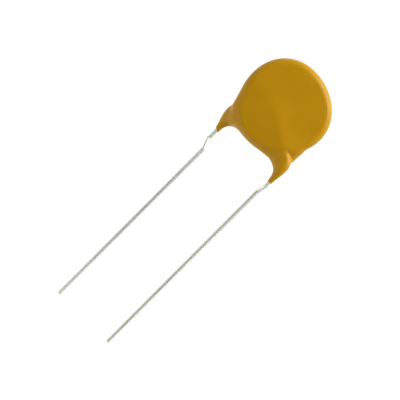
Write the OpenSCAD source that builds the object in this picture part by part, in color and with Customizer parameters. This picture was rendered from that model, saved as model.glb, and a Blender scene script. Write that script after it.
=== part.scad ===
// Epoxy-dipped ceramic disc capacitor with two radial wire leads, lying on its rear face.
// Millimetres. +Z is up and the leads point along -Y. The front lead is on the upper face
// and leaves on the +X side; the rear lead is under the disc and leaves on the -X side.
// The origin is on the surface it lies on, under the middle of the bounding box.

/* [Ceramic disc] */
// Diameter of the ceramic disc
ceramic_d = 12.4; // [10:0.2:14]
// Thickness of the ceramic disc
ceramic_t = 2; // [1:0.1:4]
// Radius that breaks the ceramic's edges
ceramic_edge = 0.15; // [0.05:0.05:0.4]

/* [Electrodes and solder] */
// Diameter of the silver film on each face
electrode_d = 11.4; // [9:0.2:13]
// Thickness of the silver film
electrode_t = 0.03; // [0.02:0.01:0.1]
// Width of the solder bead where it meets the film
solder_w = 1.8; // [1.2:0.1:2.4]
// Height of the solder bead above the film
solder_h = 0.45; // [0.3:0.05:0.55]
// Length of the solder bead between the centres of its round ends
solder_l = 5; // [3:0.25:6]
// How far the centre of the bead's round end is from the end of the wire
solder_in = 0.35; // [0.1:0.05:0.6]
// Solder between the wire and the film
solder_under = 0.04; // [0.02:0.01:0.1]

/* [Epoxy coating] */
// Epoxy over the faces of the ceramic, where it is thinnest
coat_face = 0.3; // [0.2:0.05:1]
// How much thicker the epoxy is on the far side of the wire from the leads
drape_h = 0.6; // [0.4:0.05:1]
// Width over which it thins from the wire towards the rim on the leads' side
drape_w = 5.5; // [3:0.1:8]
// Height of the ridge that it makes over the wire
ridge_h = 0.15; // [0.05:0.01:0.4]
// Width of that ridge's slope on the far side from the leads
ridge_w = 2.4; // [1:0.1:4]
// Epoxy round the rim of the ceramic
coat_rim = 0.8; // [0.6:0.05:1.4]
// Radius of the coating's rounded rim
rim_r = 1.05; // [0.6:0.05:1.2]
// How far the dipped outline strays in and out of a circle, in three waves
outline_wave = 0.18; // [0:0.01:0.25]
// Epoxy round the wire at the top of a leg
coat_wire = 0.22; // [0.15:0.01:0.4]
// Epoxy round the wire at the end of a leg
coat_exit = 0.1; // [0.06:0.01:0.2]
// How far the legs run down the wires past the rim
leg_l = 2.35; // [1.5:0.05:4]
// How far the web between the legs hangs past the rim
web_drop = -0.2; // [-0.5:0.05:0.5]
// Thickness of the web
web_t = 2.2; // [1.6:0.05:2.4]
// Radius of the web's rounded edges
web_r = 0.7; // [0.3:0.05:0.8]

/* [Leads] */
// Diameter of the tinned wire
wire_d = 0.6; // [0.4:0.01:0.8]
// Distance between the straight stretches of the two leads
lead_pitch = 10; // [7.5:0.5:12.5]
// How far the middle of the two leads is from the disc's centre
lead_shift = 0.95; // [0:0.05:1.5]
// Length of bare lead past the coating's legs
lead_free = 33.15; // [5:0.05:40]
// Angle at which each wire crosses its face, from the line through both leads
cross_angle = 31.6; // [20:0.2:45]
// How far each crossing wire passes from the disc's centre, on the leads' side
cross_offset = 1.36; // [0.5:0.02:2.5]
// Length of crossing wire beyond its nearest point to the disc's centre
cross_tail = 3.75; // [2:0.05:4.5]
// Radius of the wire's bends
bend_r = 1.5; // [1:0.1:2]
// How much fuller the wire is in its bends, where its section swells
bend_swell = 0.01; // [0.005:0.005:0.03]
// Height of each wire above the disc's middle plane where it leaves its leg
exit_z = 0.6; // [0.4:0.05:1.2]

/* [Crimps] */
// Bare wire above the front lead's crimp
front_crimp_gap = 0.6; // [0.4:0.05:3]
// Bare wire above the rear lead's crimp
rear_crimp_gap = 1.65; // [0.4:0.05:3]
// Length of a crimp along the lead
crimp_l = 1.4; // [1.2:0.05:3]
// Radius of the two bends in a crimp
crimp_r = 0.75; // [0.5:0.05:1]
// How far outside its straight stretch the front lead leaves the coating
front_flare = 0.25; // [0:0.01:1]
// How far outside its straight stretch the rear lead leaves the coating
rear_flare = 0.57; // [0:0.01:1]
// How far outside its straight stretch the rear wire bends under the coating
rear_bend_flare = 1.2; // [0.2:0.01:1.6]

/* [Hidden] */
$fn = 64;

EPOXY = [0.72, 0.52, 0.09];
TINNED = [0.74, 0.75, 0.72];
SILVER = [0.80, 0.80, 0.78];
SOLDER = [0.62, 0.63, 0.62];
CERAMIC = [0.80, 0.74, 0.62];

wire_r = wire_d / 2;
// How far pieces that join run into each other
lap = 0.02;
coat_r = ceramic_d / 2 + coat_rim;
face_z = ceramic_t / 2 + coat_face;
film_z = ceramic_t / 2 + electrode_t;
cross_z = film_z + solder_under + wire_r;
leg_end = coat_r + leg_l;
lead_reach = leg_end + lead_free;

// Widths over which neighbouring bodies of epoxy flow into each other
face_blend = 0.15;
leg_blend = 2.8;
web_blend = 1;
web_face_blend = 0.3;
exit_blend = 0.25;
// Length over which a leg narrows to its end
leg_taper = 2.4;
// Slant of the rear leg's end, as a rise for each millimetre towards +X
rear_slant = -0.5;
// Height above the disc's lowest point over which the legs flow into it
leg_root = 3;
// Softness of the ridge's crest, and how much softer it gets past the end of the wire
crest_soft = 0.5;
crest_fade = 2.5;
fade_l = 4;
// Length of wire over which the ridge rises to its full height
ridge_growth = 7;
// Direction of one of the outline's crests, from +X
outline_turn = 12;
// Width of the rim zone in which the web flows into the disc
web_zone = 2;
// The web's top edge below the disc's centre, and the height of its two ends off the middle plane
web_top = 2.5;
web_z = 0.15;
// How far the web's sides stand outside the wires, and how far and over what length they draw in
web_out = 0.4;
web_taper = 1.3;
web_taper_l = 2.4;

// The disc's centre: as high as the wire's ridge stands, and half the part's length from each end
ridge_z = face_z + drape_h + ridge_h;
disc_at = [0, (lead_reach - coat_r) / 2, ridge_z];

// ---- Lead paths, from the disc's centre, with the front face towards +Z ----

cross_dir = [cos(cross_angle), -sin(cross_angle), 0];
cross_foot = -cross_offset * [sin(cross_angle), cos(cross_angle), 0];

// A point on the line along which a wire crosses its face, at a distance from the line's foot
function on_cross(distance) = cross_foot + distance * cross_dir;
// The point where that line reaches a given x
function cross_at_x(x) = on_cross((x - cross_foot.x) / cross_dir.x);

front_x = lead_shift + lead_pitch / 2;
rear_x = lead_pitch / 2 - lead_shift;
up = [0, 0, 1];

// Each path is written on the +X side of an upper face; the rear one is then turned over
front_path = [
    on_cross(-cross_tail) + cross_z * up,
    cross_at_x(front_x + front_flare) + cross_z * up,
    [front_x + front_flare, -leg_end - front_crimp_gap, exit_z],
    [front_x, -leg_end - front_crimp_gap - crimp_l, 0],
    [front_x, -lead_reach, 0]
];
rear_upper_path = [
    on_cross(-cross_tail) + cross_z * up,
    cross_at_x(rear_x + rear_bend_flare) + cross_z * up,
    [rear_x + rear_flare, -leg_end, exit_z],
    [rear_x + rear_flare, -leg_end - rear_crimp_gap, exit_z],
    [rear_x, -leg_end - rear_crimp_gap - crimp_l, 0],
    [rear_x, -lead_reach, 0]
];
rear_path = [for (p = rear_upper_path) [-p.x, p.y, -p.z]];
front_bends = [bend_r, crimp_r, crimp_r];
rear_bends = [bend_r, bend_r, crimp_r, crimp_r];

function unit(v) = v / norm(v);
function turn(a, b, c) = acos(unit(b - a) * unit(c - b));
// How far a bend of radius r at corner b reaches along each of its two legs
function reach(a, b, c, r) = r * tan(turn(a, b, c) / 2);
function bend_in(a, b, c, r) = b + reach(a, b, c, r) * unit(a - b);
function bend_out(a, b, c, r) = b + reach(a, b, c, r) * unit(c - b);
function bend_centre(a, b, c, r) =
    b + r / cos(turn(a, b, c) / 2) * unit(unit(a - b) + unit(c - b));

// ---- Shapes that repeat ----

// Places children with their X and Z axes along two perpendicular unit vectors
module stand(at, x_axis, z_axis) {
    y_axis = cross(z_axis, x_axis);
    multmatrix([
        [x_axis.x, y_axis.x, z_axis.x, at.x],
        [x_axis.y, y_axis.y, z_axis.y, at.y],
        [x_axis.z, y_axis.z, z_axis.z, at.z],
        [0, 0, 0, 1]
    ])
        children();
}

module rod(a, b, r) {
    z_axis = unit(b - a);
    side = abs(z_axis.z) < 0.9 ? up : [1, 0, 0];
    stand(a, unit(cross(side, z_axis)), z_axis)
        cylinder(r = r, h = norm(b - a));
}

// A bend between two straight stretches
module bend(a, b, c, bend_radius, r) {
    centre = bend_centre(a, b, c, bend_radius);
    x_axis = unit(bend_in(a, b, c, bend_radius) - centre);
    stand(centre, x_axis, cross(x_axis, unit(b - a)))
        rotate_extrude(angle = turn(a, b, c))
            translate([bend_radius, 0])
                circle(r = r);
}

// A round wire along a path, with a bend of its own radius at each inner point.
// The straight stretches run a little way into the bends.
module wire(path, bends) {
    last = len(path) - 1;
    for (i = [0:last - 1]) {
        ahead = lap * unit(path[i + 1] - path[i]);
        start = i == 0
            ? path[0]
            : bend_out(path[i - 1], path[i], path[i + 1], bends[i - 1]) - ahead;
        end = i == last - 1
            ? path[last]
            : bend_in(path[i], path[i + 1], path[i + 2], bends[i]) + ahead;
        rod(start, end, wire_r);
        if (i < last - 1)
            bend(path[i], path[i + 1], path[i + 2], bends[i], wire_r + bend_swell);
    }
}

module electrode() {
    translate([0, 0, ceramic_t / 2])
        cylinder(d = electrode_d, h = electrode_t);
}

// A mound of round section with round ends, along the end of the wire on the upper film
module solder_mound() {
    bead_r = (pow(solder_h, 2) + pow(solder_w / 2, 2)) / (2 * solder_h);
    sink = film_z + solder_h - bead_r;
    start = on_cross(solder_in - cross_tail) + sink * up;
    end = start + solder_l * cross_dir;
    intersection() {
        union() {
            rod(start, end, bead_r);
            translate(start)
                sphere(r = bead_r);
            translate(end)
                sphere(r = bead_r);
        }
        translate([0, 0, film_z])
            cylinder(d = electrode_d, h = solder_h * 2);
    }
}

module solder_bead() {
    difference() {
        solder_mound();
        wire(front_path, front_bends);
    }
}

// Turns a thing on the front face over to the rear face
module turned_over() {
    rotate([0, 180, 0])
        children();
}

// ---- Outer surface of the epoxy ----
// flow(p) is negative inside the epoxy and about the distance to its surface outside it.

// The smaller of two distances, with a smooth change from one to the other
function blend_min(a, b, width) =
    min(a, b) - pow(max(width - abs(a - b), 0), 2) / (4 * width);
function blend_max(a, b, width) = -blend_min(-a, -b, width);
function ease(t) = let (u = min(max(t, 0), 1)) u * u * (3 - 2 * u);

// Distance from a box or disc that is rounded by r, given how far p is past each of its sides
function rounded(past, r) =
    norm([for (q = past) max(q + r, 0)]) + min(max(past) + r, 0) - r;

function segment_distance(p, a, b) =
    let (along = min(max((p - a) * (b - a) / ((b - a) * (b - a)), 0), 1))
    norm(p - a - along * (b - a));

// Points along a path as far as its third point, with its bend as an arc of short chords
BEND_STEPS = 4;
function arc_point(centre, from, to, f) =
    let (whole = acos(unit(from - centre) * unit(to - centre)))
    centre + (sin((1 - f) * whole) * (from - centre) + sin(f * whole) * (to - centre)) / sin(whole);
function buried(path) =
    let (
        a = path[0], b = path[1], c = path[2],
        from = bend_in(a, b, c, bend_r),
        to = bend_out(a, b, c, bend_r),
        centre = bend_centre(a, b, c, bend_r)
    )
    [a, for (i = [0:BEND_STEPS]) arc_point(centre, from, to, i / BEND_STEPS), c, path[3]];
front_buried = buried(front_path);
rear_buried = buried(rear_path);

// How much thicker the epoxy is over the upper face at x and y than where it is thinnest
function drape(x, y) =
    let (
        along = x * cross_dir.x + y * cross_dir.y,
        across = y * cross_dir.x - x * cross_dir.y + cross_offset,
        soft = crest_soft + crest_fade * ease((fade_l / 2 - cross_tail - along) / fade_l),
        away = norm([across, soft]) - soft,
        ridge = ridge_h * ease((along + cross_tail) / ridge_growth)
    )
    across < 0
        ? (drape_h + ridge) * max(1 - away / drape_w, 0)
        : drape_h + ridge * pow(max(1 - away / ridge_w, 0), 2);

function leg_flow(p, points, slant, x) =
    let (
        end = -leg_end + slant * (p.x - x),
        fullness = ease((p.y - end) / leg_taper) - ease((p.y + coat_r) / leg_root),
        cover = coat_exit + (coat_wire - coat_exit) * fullness,
        runs = [for (i = [1:len(points) - 1]) segment_distance(p, points[i - 1], points[i])]
    )
    blend_max(min(runs) - wire_r - cover, end - p.y, exit_blend);

// The web is a plate that leans a little, as the wires at its two ends do
web_from = [-rear_x - rear_bend_flare, -web_z];
web_to = [front_x + front_flare, web_z];
web_middle = (web_from + web_to) / 2;
web_lean = atan2(web_to[1] - web_from[1], web_to[0] - web_from[0]);
function web_flow(p) =
    let (
        x = p.x - web_middle[0],
        z = p.z - web_middle[1],
        level = z * cos(web_lean) - x * sin(web_lean),
        drawn_in = web_taper * ease((web_taper_l - p.y - coat_r) / web_taper_l),
        half_x = norm(web_to - web_from) / 2 + web_out - drawn_in,
        half_y = (coat_r + web_drop - web_top) / 2
    )
    rounded([
        abs(x) - half_x,
        abs(p.y + web_top + half_y) - half_y,
        abs(level) - web_t / 2
    ], web_r);

function flow(p) =
    let (
        out = norm([p.x, p.y]),
        wave = outline_wave * cos(3 * (atan2(p.y, p.x) - outline_turn)),
        face = face_z + drape(p.z > 0 ? p.x : -p.x, p.y),
        disc = rounded([out - coat_r - wave, abs(p.z) - face], rim_r),
        outer = ease((out - coat_r + web_zone) / web_zone),
        body = blend_min(disc, web_flow(p), web_face_blend + (web_blend - web_face_blend) * outer),
        legs = min(leg_flow(p, front_buried, 0, 0),
                   leg_flow(p, rear_buried, rear_slant, -rear_x - rear_flare)),
        lower = ease((leg_root - p.y - coat_r) / leg_root)
    )
    blend_min(body, legs, face_blend + (leg_blend - face_blend) * lower);

// ---- A closed mesh of that surface, one point for each grid cell that it crosses ----

grid = 0.45;
layers = ceil(ridge_z / grid) + 1;
low = [-coat_r - 1.5 * grid, -leg_end - 4.1 * grid, -layers * grid];
cells = [
    ceil((2 * coat_r + 3 * grid) / grid),
    ceil((coat_r + leg_end + 6 * grid) / grid),
    2 * layers
];
// How near a cell's point may come to the cell's walls, as a share of the cell
wall_gap = 0.1;

function grid_point(i, j, k) = low + grid * [i, j, k];
function cell_number(i, j, k) = (i * cells.y + j) * cells.z + k;

CORNERS = [for (i = [0, 1], j = [0, 1], k = [0, 1]) [i, j, k]];
EDGES = [for (a = CORNERS, b = CORNERS) if (norm(b - a) == 1 && b * [4, 2, 1] > a * [4, 2, 1]) [a, b]];

// Moves a point straight to the surface along the slope of flow
function slope(p) =
    let (h = 0.01, here = flow(p))
    [flow(p + [h, 0, 0]) - here, flow(p + [0, h, 0]) - here, flow(p + [0, 0, h]) - here] / h;
function settle(p, times) =
    times == 0 ? p : let (s = slope(p)) settle(p - flow(p) * s / (s * s), times - 1);

// The middle of the places where a cell's edges cross the surface
function cell_point(at, levels) =
    let (
        crossings = [
            for (e = EDGES)
                let (
                    from = levels[at.x + e[0].x][at.y + e[0].y][at.z + e[0].z],
                    to = levels[at.x + e[1].x][at.y + e[1].y][at.z + e[1].z]
                )
                if ((from < 0) != (to < 0))
                    at + e[0] + (e[1] - e[0]) * from / (from - to)
        ]
    )
    low + grid * ([for (c = crossings) 1] * crossings) / len(crossings);

// That point settled on the surface, but kept in its cell so that neighbouring points stay apart
function surface_point(at, levels) =
    let (
        p = settle(cell_point(at, levels), 2),
        nearest = low + grid * (at + wall_gap * [1, 1, 1]),
        furthest = nearest + grid * (1 - 2 * wall_gap) * [1, 1, 1]
    )
    [for (n = [0:2]) min(max(p[n], nearest[n]), furthest[n])];

function crossed(at, levels) =
    let (inside = [
        for (c = CORNERS)
            if (levels[at.x + c.x][at.y + c.y][at.z + c.z] < 0) 1
    ])
    len(inside) > 0 && len(inside) < 8;

// Two triangles for four points round a grid edge, cut along the shorter diagonal
function two_triangles(q, points) =
    norm(points[q[0]] - points[q[2]]) < norm(points[q[1]] - points[q[3]])
        ? [[q[0], q[1], q[2]], [q[0], q[2], q[3]]]
        : [[q[0], q[1], q[3]], [q[1], q[2], q[3]]];

module epoxy_outside() {
    levels = [
        for (i = [0:cells.x])
            [for (j = [0:cells.y]) [for (k = [0:cells.z]) flow(grid_point(i, j, k))]]
    ];
    active = [
        for (i = [0:cells.x - 1], j = [0:cells.y - 1], k = [0:cells.z - 1]) crossed([i, j, k], levels)
    ];
    total = len(active);
    point_number = [for (n = 0, count = 0; n < total; count = count + (active[n] ? 1 : 0), n = n + 1) count];
    points = [
        for (i = [0:cells.x - 1], j = [0:cells.y - 1], k = [0:cells.z - 1])
            if (active[cell_number(i, j, k)])
                surface_point([i, j, k], levels)
    ];
    // The four cells round the grid edge that leaves a grid point along each axis
    rounds = [
        [[0, 0, 0], [0, -1, 0], [0, -1, -1], [0, 0, -1]],
        [[0, 0, 0], [0, 0, -1], [-1, 0, -1], [-1, 0, 0]],
        [[0, 0, 0], [-1, 0, 0], [-1, -1, 0], [0, -1, 0]]
    ];
    steps = [[1, 0, 0], [0, 1, 0], [0, 0, 1]];
    quads = [
        for (i = [1:cells.x - 1], j = [1:cells.y - 1], k = [1:cells.z - 1], axis = [0:2])
            let (
                from = levels[i][j][k] < 0,
                to = levels[i + steps[axis].x][j + steps[axis].y][k + steps[axis].z] < 0
            )
            if (from != to)
                let (quad = [for (c = rounds[axis]) point_number[cell_number(i + c.x, j + c.y, k + c.z)]])
                from ? quad : [quad[3], quad[2], quad[1], quad[0]]
    ];
    polyhedron(points, [for (q = quads) each two_triangles(q, points)]);
}

// ---- Nodes ----

module ceramic_disc() {
    color(CERAMIC)
        translate(disc_at)
            ceramic_blank();
}

module ceramic_blank() {
    flat = ceramic_d / 2 - ceramic_edge;
    straight = ceramic_t / 2 - ceramic_edge;
    rotate_extrude()
        union() {
            translate([0, -ceramic_t / 2])
                square([flat, ceramic_t]);
            translate([0, -straight])
                square([ceramic_d / 2, 2 * straight]);
            for (y = [-straight, straight])
                translate([flat, y])
                    circle(r = ceramic_edge);
        }
}

module front_electrode() {
    color(SILVER)
        translate(disc_at)
            electrode();
}

module rear_electrode() {
    color(SILVER)
        translate(disc_at)
            turned_over()
                electrode();
}

module front_solder() {
    color(SOLDER)
        translate(disc_at)
            solder_bead();
}

module rear_solder() {
    color(SOLDER)
        translate(disc_at)
            turned_over()
                solder_bead();
}

module front_lead() {
    color(TINNED)
        translate(disc_at)
            wire(front_path, front_bends);
}

module rear_lead() {
    color(TINNED)
        translate(disc_at)
            wire(rear_path, rear_bends);
}

// All that the epoxy holds, as one shape
module contents() {
    ceramic_blank();
    wire(front_path, front_bends);
    wire(rear_path, rear_bends);
    for (side = [0, 1])
        rotate([0, 180 * side, 0]) {
            electrode();
            solder_mound();
        }
}

// The epoxy is hollow where its contents are, so that it meets each of them face to face
module epoxy_coating() {
    color(EPOXY)
        translate(disc_at)
            difference() {
                epoxy_outside();
                contents();
            }
}

ceramic_disc();
front_electrode();
rear_electrode();
front_solder();
rear_solder();
front_lead();
rear_lead();
epoxy_coating();
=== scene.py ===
"""Looks for the ceramic disc capacitor: its dipped epoxy and tinned leads, and the studio."""

import math

import bmesh
import bpy
import numpy as np
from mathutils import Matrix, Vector


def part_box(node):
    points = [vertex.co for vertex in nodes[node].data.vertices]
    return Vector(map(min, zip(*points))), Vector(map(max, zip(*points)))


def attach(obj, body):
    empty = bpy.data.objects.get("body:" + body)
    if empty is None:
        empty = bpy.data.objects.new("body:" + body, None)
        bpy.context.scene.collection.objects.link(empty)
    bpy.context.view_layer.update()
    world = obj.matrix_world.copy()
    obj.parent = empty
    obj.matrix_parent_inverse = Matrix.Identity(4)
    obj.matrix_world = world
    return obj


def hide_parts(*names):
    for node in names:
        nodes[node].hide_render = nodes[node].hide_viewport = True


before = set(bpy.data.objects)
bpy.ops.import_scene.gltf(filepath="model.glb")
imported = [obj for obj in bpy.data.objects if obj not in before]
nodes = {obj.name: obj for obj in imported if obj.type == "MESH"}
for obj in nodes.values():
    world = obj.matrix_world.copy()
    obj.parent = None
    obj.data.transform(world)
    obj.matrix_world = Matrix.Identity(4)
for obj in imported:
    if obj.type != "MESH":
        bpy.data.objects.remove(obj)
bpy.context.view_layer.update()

# ---- Sizes, in millimetres; the model's own units are metres ----

MM = 0.001


def box_mm(node):
    low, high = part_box(node)
    return np.array(low) / MM, np.array(high) / MM


ceramic_low, ceramic_high = box_mm("ceramic_disc")
DISC = (ceramic_low + ceramic_high) / 2
CERAMIC_R = (ceramic_high[1] - ceramic_low[1]) / 2
CERAMIC_HALF = (ceramic_high[2] - ceramic_low[2]) / 2
TIP_Y = box_mm("front_lead")[0][1]

# Electrodes and solder
FILM_T = 0.03
SOLDER_UNDER = 0.04

# Epoxy coating
COAT_FACE = 0.3
COAT_RIM = 0.8
RIM_R = 1.05
COAT_WIRE = 0.22
COAT_EXIT = 0.1
LEG_L = 2.35
WEB_T = 2.2
WEB_DROP = -0.2
WEB_TOP = 2.5
WEB_OUT = 0.4
WEB_TAPER_L = 2.4
WEB_R = 0.7
WEB_Z = 0.15
WEB_TAPER = 1.3
OUTLINE_WAVE = 0.18
OUTLINE_TURN = math.radians(12)
DRAPE_H = 0.6
DRAPE_FAR = 5.5
DRAPE_NEAR = 2.4
DRAPE_CREST = 0.5
DRAPE_END = 2.5
# Length over which the ridge's crest softens past the end of the wire
FADE_L = 4.0
RIDGE_H = 0.15
RIDGE_GROWTH = 7.0
FACE_BLEND = 0.15
LEG_BLEND = 2.8
WEB_BLEND = 1.0
WEB_FACE_BLEND = 0.3
EXIT_BLEND = 0.25
LEG_TAPER = 2.4
# Height above the disc's lowest point over which the legs flow into it
LEG_ROOT = 3.0
# Width of the rim zone in which the web flows into the disc
WEB_ZONE = 2.0
REAR_SLANT = -0.5

# Leads
WIRE_R = 0.3
LEAD_PITCH = 10.0
LEAD_SHIFT = 0.95
CROSS_ANGLE = math.radians(31.6)
CROSS_OFFSET = 1.36
CROSS_TAIL = 3.75
BEND_R = 1.5
EXIT_Z = 0.6
FRONT_CRIMP_GAP = 0.6
REAR_CRIMP_GAP = 1.65
CRIMP_L = 1.4
CRIMP_R = 0.75
FRONT_FLARE = 0.25
REAR_FLARE = 0.57
REAR_BEND_FLARE = 1.2

COAT_R = CERAMIC_R + COAT_RIM
FACE_Z = CERAMIC_HALF + COAT_FACE
CROSS_Z = CERAMIC_HALF + FILM_T + SOLDER_UNDER + WIRE_R
LEG_END = COAT_R + LEG_L
REACH = DISC[1] - TIP_Y

# ---- Lead paths, from the disc's centre ----

CROSS_DIR = np.array([math.cos(CROSS_ANGLE), -math.sin(CROSS_ANGLE), 0])
CROSS_FOOT = -CROSS_OFFSET * np.array([math.sin(CROSS_ANGLE), math.cos(CROSS_ANGLE), 0])
FRONT_X = LEAD_SHIFT + LEAD_PITCH / 2
REAR_X = LEAD_PITCH / 2 - LEAD_SHIFT


def on_cross(distance, x=None):
    """A point on the line along which a wire crosses its face, by distance from its foot or x."""
    if x is not None:
        distance = (x - CROSS_FOOT[0]) / CROSS_DIR[0]
    return CROSS_FOOT + distance * CROSS_DIR + [0, 0, CROSS_Z]


def front_path():
    out = FRONT_X + FRONT_FLARE
    crimp = -LEG_END - FRONT_CRIMP_GAP
    return np.array([
        on_cross(-CROSS_TAIL),
        on_cross(0, x=out),
        [out, crimp, EXIT_Z],
        [FRONT_X, crimp - CRIMP_L, 0],
        [FRONT_X, -REACH, 0],
    ])


def rear_path():
    out = REAR_X + REAR_FLARE
    crimp = -LEG_END - REAR_CRIMP_GAP
    upper = np.array([
        on_cross(-CROSS_TAIL),
        on_cross(0, x=REAR_X + REAR_BEND_FLARE),
        [out, -LEG_END, EXIT_Z],
        [out, crimp, EXIT_Z],
        [REAR_X, crimp - CRIMP_L, 0],
        [REAR_X, -REACH, 0],
    ])
    return upper * [-1, 1, -1]


def unit(v):
    return v / np.linalg.norm(v)


def arc(a, b, c, radius, steps):
    """Points round the bend at b, between its two straight stretches."""
    into, out = unit(b - a), unit(c - b)
    turn = math.acos(np.clip(into @ out, -1, 1))
    reach = radius * math.tan(turn / 2)
    centre = b + radius / math.cos(turn / 2) * unit(out - into)
    first, last = b - reach * into - centre, b + reach * out - centre
    return [
        centre + (math.sin((1 - f) * turn) * first + math.sin(f * turn) * last) / math.sin(turn)
        for f in np.linspace(0, 1, steps + 1)
    ]


# ---- The epoxy's surface: flow(p) is negative inside it ----

# Straight steps into which a bend of a lead is divided, for the epoxy round it
BURIED_BEND_STEPS = 12


def blend_min(a, b, width):
    return np.minimum(a, b) - np.maximum(width - np.abs(a - b), 0) ** 2 / (4 * width)


def blend_max(a, b, width):
    return -blend_min(-a, -b, width)


def ease(t):
    t = np.clip(t, 0, 1)
    return t * t * (3 - 2 * t)


def rounded(past, r):
    past = np.stack(past, -1) + r
    return np.linalg.norm(np.maximum(past, 0), axis=-1) + np.minimum(past.max(-1), 0) - r


def run_distance(p, points):
    """Distance to a run of straight stretches between points."""
    nearest = np.full(len(p), np.inf)
    for a, b in zip(points[:-1], points[1:]):
        along = np.clip((p - a) @ (b - a) / ((b - a) @ (b - a)), 0, 1)
        nearest = np.minimum(nearest, np.linalg.norm(p - a - along[:, None] * (b - a), axis=1))
    return nearest


def buried(path):
    """The stretch of a lead's path that the epoxy covers, and a little more."""
    bend = arc(path[0], path[1], path[2], BEND_R, BURIED_BEND_STEPS)
    return [path[0], *bend, path[2], path[3]]


FRONT_BURIED = buried(front_path())
REAR_BURIED = buried(rear_path())
WEB_FROM = np.array([-REAR_X - REAR_BEND_FLARE, -WEB_Z])
WEB_TO = np.array([FRONT_X + FRONT_FLARE, WEB_Z])
WEB_HALF_Y = (COAT_R + WEB_DROP - WEB_TOP) / 2
WEB_MIDDLE = (WEB_FROM + WEB_TO) / 2
WEB_HALF = np.linalg.norm(WEB_TO - WEB_FROM) / 2
WEB_LEAN = math.atan2(WEB_TO[1] - WEB_FROM[1], WEB_TO[0] - WEB_FROM[0])


def drape(x, y):
    """How much thicker the epoxy is on a face than at its edge: it hangs from the wire's ridge."""
    along = x * CROSS_DIR[0] + y * CROSS_DIR[1]
    across = -x * CROSS_DIR[1] + y * CROSS_DIR[0] + CROSS_OFFSET
    soft = DRAPE_CREST + DRAPE_END * ease((-along - CROSS_TAIL + FADE_L / 2) / FADE_L)
    away = np.sqrt(across ** 2 + soft ** 2) - soft
    ridge = RIDGE_H * ease((along + CROSS_TAIL) / RIDGE_GROWTH)
    far = (DRAPE_H + ridge) * np.maximum(1 - away / DRAPE_FAR, 0)
    near = DRAPE_H + ridge * np.maximum(1 - away / DRAPE_NEAR, 0) ** 2
    return np.where(across < 0, far, near)


def leg_flow(p, points, slant, x):
    end = -LEG_END + slant * (p[:, 0] - x)
    cover = COAT_EXIT + (COAT_WIRE - COAT_EXIT) * ease((p[:, 1] - end) / LEG_TAPER)
    cover = cover - (COAT_WIRE - COAT_EXIT) * ease((p[:, 1] + COAT_R) / LEG_ROOT)
    return blend_max(run_distance(p, points) - WIRE_R - cover, end - p[:, 1], EXIT_BLEND)


def web_flow(p):
    x, z = p[:, 0] - WEB_MIDDLE[0], p[:, 2] - WEB_MIDDLE[1]
    level = z * math.cos(WEB_LEAN) - x * math.sin(WEB_LEAN)
    half_x = WEB_HALF + WEB_OUT - WEB_TAPER * ease((-p[:, 1] - COAT_R + WEB_TAPER_L) / WEB_TAPER_L)
    past_x = np.abs(x) - half_x
    past_y = np.abs(p[:, 1] + WEB_TOP + WEB_HALF_Y) - WEB_HALF_Y
    return rounded([past_x, past_y, np.abs(level) - WEB_T / 2], WEB_R)


def flow(p):
    wave = OUTLINE_WAVE * np.cos(3 * (np.arctan2(p[:, 1], p[:, 0]) - OUTLINE_TURN))
    face = FACE_Z + drape(np.where(p[:, 2] > 0, p[:, 0], -p[:, 0]), p[:, 1])
    out = np.hypot(p[:, 0], p[:, 1]) - COAT_R
    disc = rounded([out - wave, np.abs(p[:, 2]) - face], RIM_R)
    outer = ease((out + WEB_ZONE) / WEB_ZONE)
    body = blend_min(disc, web_flow(p), WEB_FACE_BLEND + (WEB_BLEND - WEB_FACE_BLEND) * outer)
    legs = np.minimum(
        leg_flow(p, FRONT_BURIED, 0, 0),
        leg_flow(p, REAR_BURIED, REAR_SLANT, -REAR_X - REAR_FLARE),
    )
    lower = ease((-p[:, 1] - COAT_R + LEG_ROOT) / LEG_ROOT)
    return blend_min(body, legs, FACE_BLEND + (LEG_BLEND - FACE_BLEND) * lower)


# Side of the mesher's grid cells
CELL = 0.16
# Least size of the field at a grid point, in cells, which keeps neighbouring mesh points apart
LEAST_LEVEL = 0.2
# How often the mesh points are moved to the surface, and over what step its slope is taken
SETTLE_TIMES = 3
SLOPE_STEP = 0.005


def settle(p, field):
    """Moves points straight to the surface along the slope of the field."""
    for _ in range(SETTLE_TIMES):
        here = field(p)
        slope = np.stack([field(p + d) - here for d in SLOPE_STEP * np.eye(3)], 1) / SLOPE_STEP
        p = p - (here / (slope ** 2).sum(1))[:, None] * slope
    return p


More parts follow.
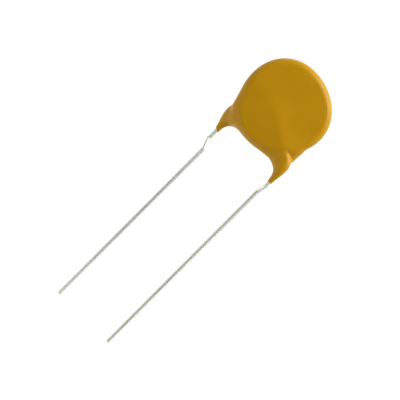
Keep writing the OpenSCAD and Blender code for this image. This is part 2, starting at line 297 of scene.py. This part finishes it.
def surface_net(field, low, high, cell):
    """A closed mesh of quads where field is zero, one point for each grid cell that it crosses."""
    counts = np.ceil((high - low) / cell).astype(int)
    axes = [low[n] + cell * np.arange(counts[n] + 1) for n in range(3)]
    grid = np.stack(np.meshgrid(*axes, indexing="ij"), -1)
    level = field(grid.reshape(-1, 3)).reshape(grid.shape[:3])
    level = np.where(level < 0, -1, 1) * np.maximum(np.abs(level), LEAST_LEVEL * cell)
    total, number = np.zeros((*counts, 3)), np.zeros(counts)
    crossings = []
    for axis in range(3):
        ends = [slice(None)] * 3
        ends[axis] = slice(0, -1)
        start = level[tuple(ends)]
        place = grid[tuple(ends)].copy()
        ends[axis] = slice(1, None)
        stop = level[tuple(ends)]
        crossed = (start < 0) != (stop < 0)
        place[..., axis] += cell * np.where(crossed, start / (start - stop), 0)
        others = [n for n in range(3) if n != axis]
        for first in (0, 1):
            for second in (0, 1):
                part = [slice(None)] * 3
                part[others[0]] = slice(first, first + counts[others[0]])
                part[others[1]] = slice(second, second + counts[others[1]])
                total += (place * crossed[..., None])[tuple(part)]
                number += crossed[tuple(part)]
        crossings.append((crossed, start < 0))
    active = number > 0
    index = np.cumsum(active).reshape(counts) - 1
    points = settle(total[active] / number[active][:, None], field)
    quads = []
    for axis, (crossed, starts_inside) in enumerate(crossings):
        u, v = (axis + 1) % 3, (axis + 2) % 3
        at = np.argwhere(crossed)
        ring = []
        for du, dv in ((0, 0), (-1, 0), (-1, -1), (0, -1)):
            cell_at = at.copy()
            cell_at[:, u] += du
            cell_at[:, v] += dv
            ring.append(index[tuple(cell_at.T)])
        ring = np.stack(ring, 1)
        flip = ~starts_inside[tuple(at.T)]
        ring[flip] = ring[flip][:, ::-1]
        quads.append(ring)
    return points, np.concatenate(quads)


# ---- Mesh helpers ----

def mesh_object(name, points_mm, faces):
    mesh = bpy.data.meshes.new(name)
    mesh.from_pydata(((points_mm + DISC) * MM).tolist(), [], [list(map(int, f)) for f in faces])
    mesh.validate()
    mesh.shade_smooth()
    piece = bpy.data.objects.new(name, mesh)
    bpy.context.scene.collection.objects.link(piece)
    return piece


def sweep(points, sections):
    """Points and faces of a closed tube; sections[i] is a ring of (side, up) about points[i]."""
    points = np.array(points)
    ahead = np.gradient(points, axis=0)
    side = unit(np.cross(ahead[0], [0, 0, 1]))
    rings = []
    for at, forward, section in zip(points, ahead, sections):
        forward = unit(forward)
        side = unit(side - (side @ forward) * forward)
        up = np.cross(side, forward)
        rings.append(at + section[:, :1] * side + section[:, 1:] * up)
    n, m = len(rings), len(sections[0])
    faces = [
        [i * m + j, i * m + (j + 1) % m, (i + 1) * m + (j + 1) % m, (i + 1) * m + j]
        for i in range(n - 1) for j in range(m)
    ]
    faces.append(list(range(m))[::-1])
    faces.append([(n - 1) * m + j for j in range(m)])
    return np.concatenate(rings), faces


def cut_from(piece, cutters):
    """Takes closed copies of other objects out of a piece."""
    hollow = bpy.data.collections.new("hollow")
    copies = []
    for cutter in cutters:
        copy = cutter.copy()
        copy.data = cutter.data.copy()
        hollow.objects.link(copy)
        copies.append(copy)
        cleaned = bmesh.new()
        cleaned.from_mesh(copy.data)
        bmesh.ops.remove_doubles(cleaned, verts=cleaned.verts, dist=1e-8)
        cleaned.to_mesh(copy.data)
        cleaned.free()
    cut = piece.modifiers.new("hollow", "BOOLEAN")
    cut.operation = "DIFFERENCE"
    cut.operand_type = "COLLECTION"
    cut.collection = hollow
    cut.solver = "MANIFOLD"
    bpy.context.view_layer.update()
    evaluated = piece.evaluated_get(bpy.context.evaluated_depsgraph_get())
    result = bpy.data.meshes.new_from_object(evaluated)
    piece.modifiers.clear()
    piece.data = result
    for copy in copies:
        bpy.data.objects.remove(copy)
    bpy.data.collections.remove(hollow)


# ---- Materials ----

def new_material(name):
    material = bpy.data.materials.new(name)
    material.use_nodes = True
    tree = material.node_tree
    shader = next(n for n in tree.nodes if n.type == "BSDF_PRINCIPLED")
    place = tree.nodes.new("ShaderNodeTexCoord")
    return material, tree, shader, place.outputs["Object"]


def noise(tree, place, scale, detail=3.0, roughness=0.5, stretch=None):
    node = tree.nodes.new("ShaderNodeTexNoise")
    node.inputs["Scale"].default_value = scale
    node.inputs["Detail"].default_value = detail
    node.inputs["Roughness"].default_value = roughness
    if stretch:
        mapping = tree.nodes.new("ShaderNodeMapping")
        mapping.inputs["Scale"].default_value = stretch
        tree.links.new(place, mapping.inputs["Vector"])
        place = mapping.outputs["Vector"]
    tree.links.new(place, node.inputs["Vector"])
    return node.outputs["Fac"]


def colours(tree, amount, stops):
    ramp = tree.nodes.new("ShaderNodeValToRGB")
    while len(ramp.color_ramp.elements) < len(stops):
        ramp.color_ramp.elements.new(0.5)
    for element, (position, colour) in zip(ramp.color_ramp.elements, stops):
        element.position = position
        element.color = (*colour, 1)
    tree.links.new(amount, ramp.inputs["Fac"])
    return ramp.outputs["Color"]


def spread(tree, amount, low, high):
    """Spreads the middle of a noise's range over low to high."""
    node = tree.nodes.new("ShaderNodeMapRange")
    node.inputs["From Min"].default_value = 0.3
    node.inputs["From Max"].default_value = 0.7
    node.inputs["To Min"].default_value = low
    node.inputs["To Max"].default_value = high
    tree.links.new(amount, node.inputs["Value"])
    return node.outputs["Result"]


def bumps(tree, shader, layers):
    """Bump layers, each (height, depth in metres, strength)."""
    normal = None
    for height, depth, strength in layers:
        node = tree.nodes.new("ShaderNodeBump")
        node.inputs["Distance"].default_value = depth
        node.inputs["Strength"].default_value = strength
        tree.links.new(height, node.inputs["Height"])
        if normal:
            tree.links.new(normal, node.inputs["Normal"])
        normal = node.outputs["Normal"]
    tree.links.new(normal, shader.inputs["Normal"])


def epoxy_material():
    material, tree, shader, place = new_material("dipped_epoxy")
    cloud = noise(tree, place, 260, 2.0)
    tree.links.new(
        colours(tree, cloud, [(0.3, (0.42, 0.21, 0.0015)), (0.7, (0.455, 0.23, 0.003))]),
        shader.inputs["Base Color"],
    )
    sheen = noise(tree, place, 500, 3.0)
    tree.links.new(spread(tree, sheen, 0.30, 0.38), shader.inputs["Roughness"])
    shader.inputs["Specular IOR Level"].default_value = 0.1
    shader.inputs["Coat Weight"].default_value = 0.15
    shader.inputs["Coat Roughness"].default_value = 0.38
    shader.inputs["Coat IOR"].default_value = 1.5
    sags, pores = noise(tree, place, 300, 1.0), noise(tree, place, 4000, 2.0)
    bumps(tree, shader, [(sags, 0.00004, 0.35), (pores, 0.000002, 0.3)])
    return material


def tinned_material():
    material, tree, shader, place = new_material("tinned_wire")
    shader.inputs["Metallic"].default_value = 1.0
    streaks = noise(tree, place, 900, 3.0, 0.5, stretch=(3, 0.06, 3))
    tree.links.new(
        colours(tree, streaks, [(0.3, (0.75, 0.76, 0.67)), (0.7, (0.83, 0.845, 0.745))]),
        shader.inputs["Base Color"],
    )
    tree.links.new(spread(tree, streaks, 0.5, 0.62), shader.inputs["Roughness"])
    draw_lines = noise(tree, place, 3000, 2.0, 0.5, stretch=(3, 0.05, 3))
    bumps(tree, shader, [(streaks, 0.000008, 0.2), (draw_lines, 0.000003, 0.15)])
    return material


def solder_material():
    material, tree, shader, place = new_material("solder")
    shader.inputs["Metallic"].default_value = 1.0
    frost = noise(tree, place, 2500, 5.0, 0.6)
    tree.links.new(
        colours(tree, frost, [(0.3, (0.48, 0.49, 0.49)), (0.7, (0.66, 0.67, 0.66))]),
        shader.inputs["Base Color"],
    )
    tree.links.new(spread(tree, frost, 0.28, 0.5), shader.inputs["Roughness"])
    bumps(tree, shader, [(frost, 0.00002, 0.4)])
    return material


def silver_material():
    material, tree, shader, place = new_material("silver_film")
    shader.inputs["Metallic"].default_value = 1.0
    grains = noise(tree, place, 6000, 4.0, 0.6)
    tree.links.new(
        colours(tree, grains, [(0.3, (0.70, 0.69, 0.66)), (0.7, (0.84, 0.83, 0.80))]),
        shader.inputs["Base Color"],
    )
    tree.links.new(spread(tree, grains, 0.45, 0.62), shader.inputs["Roughness"])
    bumps(tree, shader, [(grains, 0.00001, 0.5)])
    return material


def ceramic_material():
    material, tree, shader, place = new_material("fired_ceramic")
    speckle = noise(tree, place, 5000, 6.0, 0.7)
    tree.links.new(
        colours(tree, speckle, [(0.35, (0.42, 0.30, 0.17)), (0.65, (0.60, 0.47, 0.30))]),
        shader.inputs["Base Color"],
    )
    tree.links.new(spread(tree, speckle, 0.55, 0.75), shader.inputs["Roughness"])
    bumps(tree, shader, [(speckle, 0.00002, 0.5)])
    return material


def set_material(piece, material):
    piece.data.materials.clear()
    piece.data.materials.append(material)


# ---- Camera, floor and lights ----

FRAME_WIDTH = 58.4 * MM
LENS = 200.0
SENSOR = 36.0
# The middle of the picture, from the disc's centre and the middle of the leads
AIM_BELOW_DISC = 18.22
AIM_FROM_LEADS = -0.07
ROLL = math.radians(45)
FLOOR_HALF = 3.0


def make_camera():
    data = bpy.data.cameras.new("camera")
    data.lens = LENS
    data.sensor_width = SENSOR
    data.clip_start = 0.01
    data.clip_end = 20
    camera = bpy.data.objects.new("camera", data)
    bpy.context.scene.collection.objects.link(camera)
    aim = np.array([DISC[0] + LEAD_SHIFT + AIM_FROM_LEADS, DISC[1] - AIM_BELOW_DISC, DISC[2]]) * MM
    camera.location = aim + [0, 0, FRAME_WIDTH * LENS / SENSOR]
    camera.rotation_euler = (0, 0, ROLL)
    bpy.context.scene.camera = camera


def area_light(name, azimuth, elevation, distance, size, power):
    """A square white light aimed at the disc. Angles in degrees, azimuth from +X towards +Y."""
    data = bpy.data.lights.new(name, "AREA")
    data.shape = "SQUARE"
    data.size = size
    data.energy = power
    light = bpy.data.objects.new(name, data)
    bpy.context.scene.collection.objects.link(light)
    a, e = math.radians(azimuth), math.radians(elevation)
    towards = Vector((math.cos(a) * math.cos(e), math.sin(a) * math.cos(e), math.sin(e)))
    light.location = Vector(DISC) * MM + towards * distance
    light.rotation_mode = "QUATERNION"
    light.rotation_quaternion = towards.to_track_quat("Z", "Y")
    light.visible_camera = False


def make_studio():
    floor_mesh = bpy.data.meshes.new("floor")
    corners = [(x * FLOOR_HALF, y * FLOOR_HALF, 0) for x, y in ((-1, -1), (1, -1), (1, 1), (-1, 1))]
    floor_mesh.from_pydata(corners, [], [(0, 1, 2, 3)])
    floor = bpy.data.objects.new("floor", floor_mesh)
    bpy.context.scene.collection.objects.link(floor)
    paper, tree, shader, place = new_material("paper")
    fibres = noise(tree, place, 40, 4.0)
    tree.links.new(
        colours(tree, fibres, [(0.3, (0.08, 0.08, 0.08)), (0.7, (0.10, 0.10, 0.10))]),
        shader.inputs["Base Color"],
    )
    shader.inputs["Emission Color"].default_value = (1, 1, 1, 1)
    shader.inputs["Emission Strength"].default_value = 1.0
    shader.inputs["Roughness"].default_value = 0.9
    shader.inputs["Specular IOR Level"].default_value = 0.1
    set_material(floor, paper)

    world = bpy.data.worlds.new("studio")
    world.use_nodes = True
    sky = world.node_tree
    background = next(n for n in sky.nodes if n.type == "BACKGROUND")
    height = sky.nodes.new("ShaderNodeSeparateXYZ")
    around = sky.nodes.new("ShaderNodeTexCoord").outputs["Generated"]
    sky.links.new(around, height.inputs["Vector"])
    greys = [(0.15, (0.55, 0.55, 0.55)), (0.5, (0.27, 0.27, 0.27)), (0.85, (0.09, 0.09, 0.09))]
    sky.links.new(colours(sky, height.outputs["Z"], greys), background.inputs["Color"])
    background.inputs["Strength"].default_value = 1.0
    bpy.context.scene.world = world
    area_light("key", azimuth=61, elevation=24, distance=0.5, size=0.44, power=4.8)
    area_light("fill", azimuth=240, elevation=12, distance=0.8, size=1.2, power=7.8)
    bpy.context.scene.view_settings.view_transform = "Standard"
    bpy.context.scene.view_settings.look = "None"


# ---- Pieces ----

WIRE_SIDES = 32
# Distance between a wire's rings, and the steps into which each of its bends is divided
WIRE_STEP = 0.12
WIRE_BEND_STEPS = 14
# How much of the wire's thickness a crimp presses away, and how much of that widens it
CRIMP_FLAT = 0.16
CRIMP_WIDEN = 0.45
# Number of rings over which a crimp's flattening fades in, an odd one
CRIMP_FADE = 9
# Length of the worn edge at a cut end, and how much of the radius is worn away
END_WORN_L = 0.06
END_WORN = 0.22


def lead(name, path, bend_radii):
    """A lead of round wire, pressed a little flat at its two crimp bends and with worn cut ends."""
    route = [path[0]]
    flat = [0.0]
    for n in range(1, len(path) - 1):
        crimp = n >= len(path) - 3
        for point in arc(path[n - 1], path[n], path[n + 1], bend_radii[n - 1], WIRE_BEND_STEPS):
            route.append(point)
            flat.append(CRIMP_FLAT if crimp else 0.0)
    route.append(path[-1])
    flat.append(0.0)
    route, flat = np.array(route), np.array(flat)
    length = np.concatenate([[0], np.cumsum(np.linalg.norm(np.diff(route, axis=0), axis=1))])
    even = np.linspace(0, length[-1], int(length[-1] / WIRE_STEP))
    points = np.stack([np.interp(even, length, route[:, n]) for n in range(3)], 1)
    padded = np.pad(np.interp(even, length, flat), CRIMP_FADE // 2, mode="edge")
    press = np.convolve(padded, np.ones(CRIMP_FADE) / CRIMP_FADE, "valid")
    ends = np.minimum(even, length[-1] - even)
    shrink = 1 - END_WORN * np.maximum(1 - ends / END_WORN_L, 0) ** 2
    turn = np.linspace(0, 2 * math.pi, WIRE_SIDES, endpoint=False)
    circle = np.stack([np.cos(turn), np.sin(turn)], 1)
    sections = [WIRE_R * s * circle * [1 + CRIMP_WIDEN * f, 1 - f] for f, s in zip(press, shrink)]
    rings, faces = sweep(points, sections)
    return mesh_object(name, rings, faces)


# How far inside the CAD surface the finer mesh lies, so that it stays within the faceted CAD box
SKIN_IN = 0.025


def skin(p):
    return flow(p) + SKIN_IN


def make_coating(contents):
    margin = 3 * COAT_FACE
    low = np.array([-COAT_R - margin, -LEG_END - margin, -FACE_Z - 2 * WIRE_R - margin])
    high = np.array([COAT_R + margin, COAT_R + margin, -low[2]])
    coating = mesh_object("epoxy_dip", *surface_net(skin, low, high, CELL))
    cut_from(coating, contents)
    return coating


make_camera()
make_studio()

tinned = tinned_material()
front_wire = lead("front_wire", front_path(), [BEND_R, CRIMP_R, CRIMP_R])
rear_wire = lead("rear_wire", rear_path(), [BEND_R, BEND_R, CRIMP_R, CRIMP_R])
for wire, node in ((front_wire, "front_lead"), (rear_wire, "rear_lead")):
    set_material(wire, tinned)
    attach(wire, "root")
    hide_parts(node)

inner_names = ("ceramic_disc", "front_electrode", "rear_electrode", "front_solder", "rear_solder")
inner = [nodes[n] for n in inner_names]
coating = make_coating(inner + [front_wire, rear_wire])
set_material(coating, epoxy_material())
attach(coating, "root")
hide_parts("epoxy_coating")

set_material(nodes["ceramic_disc"], ceramic_material())
silver = silver_material()
set_material(nodes["front_electrode"], silver)
set_material(nodes["rear_electrode"], silver)
solder = solder_material()
set_material(nodes["front_solder"], solder)
set_material(nodes["rear_solder"], solder)
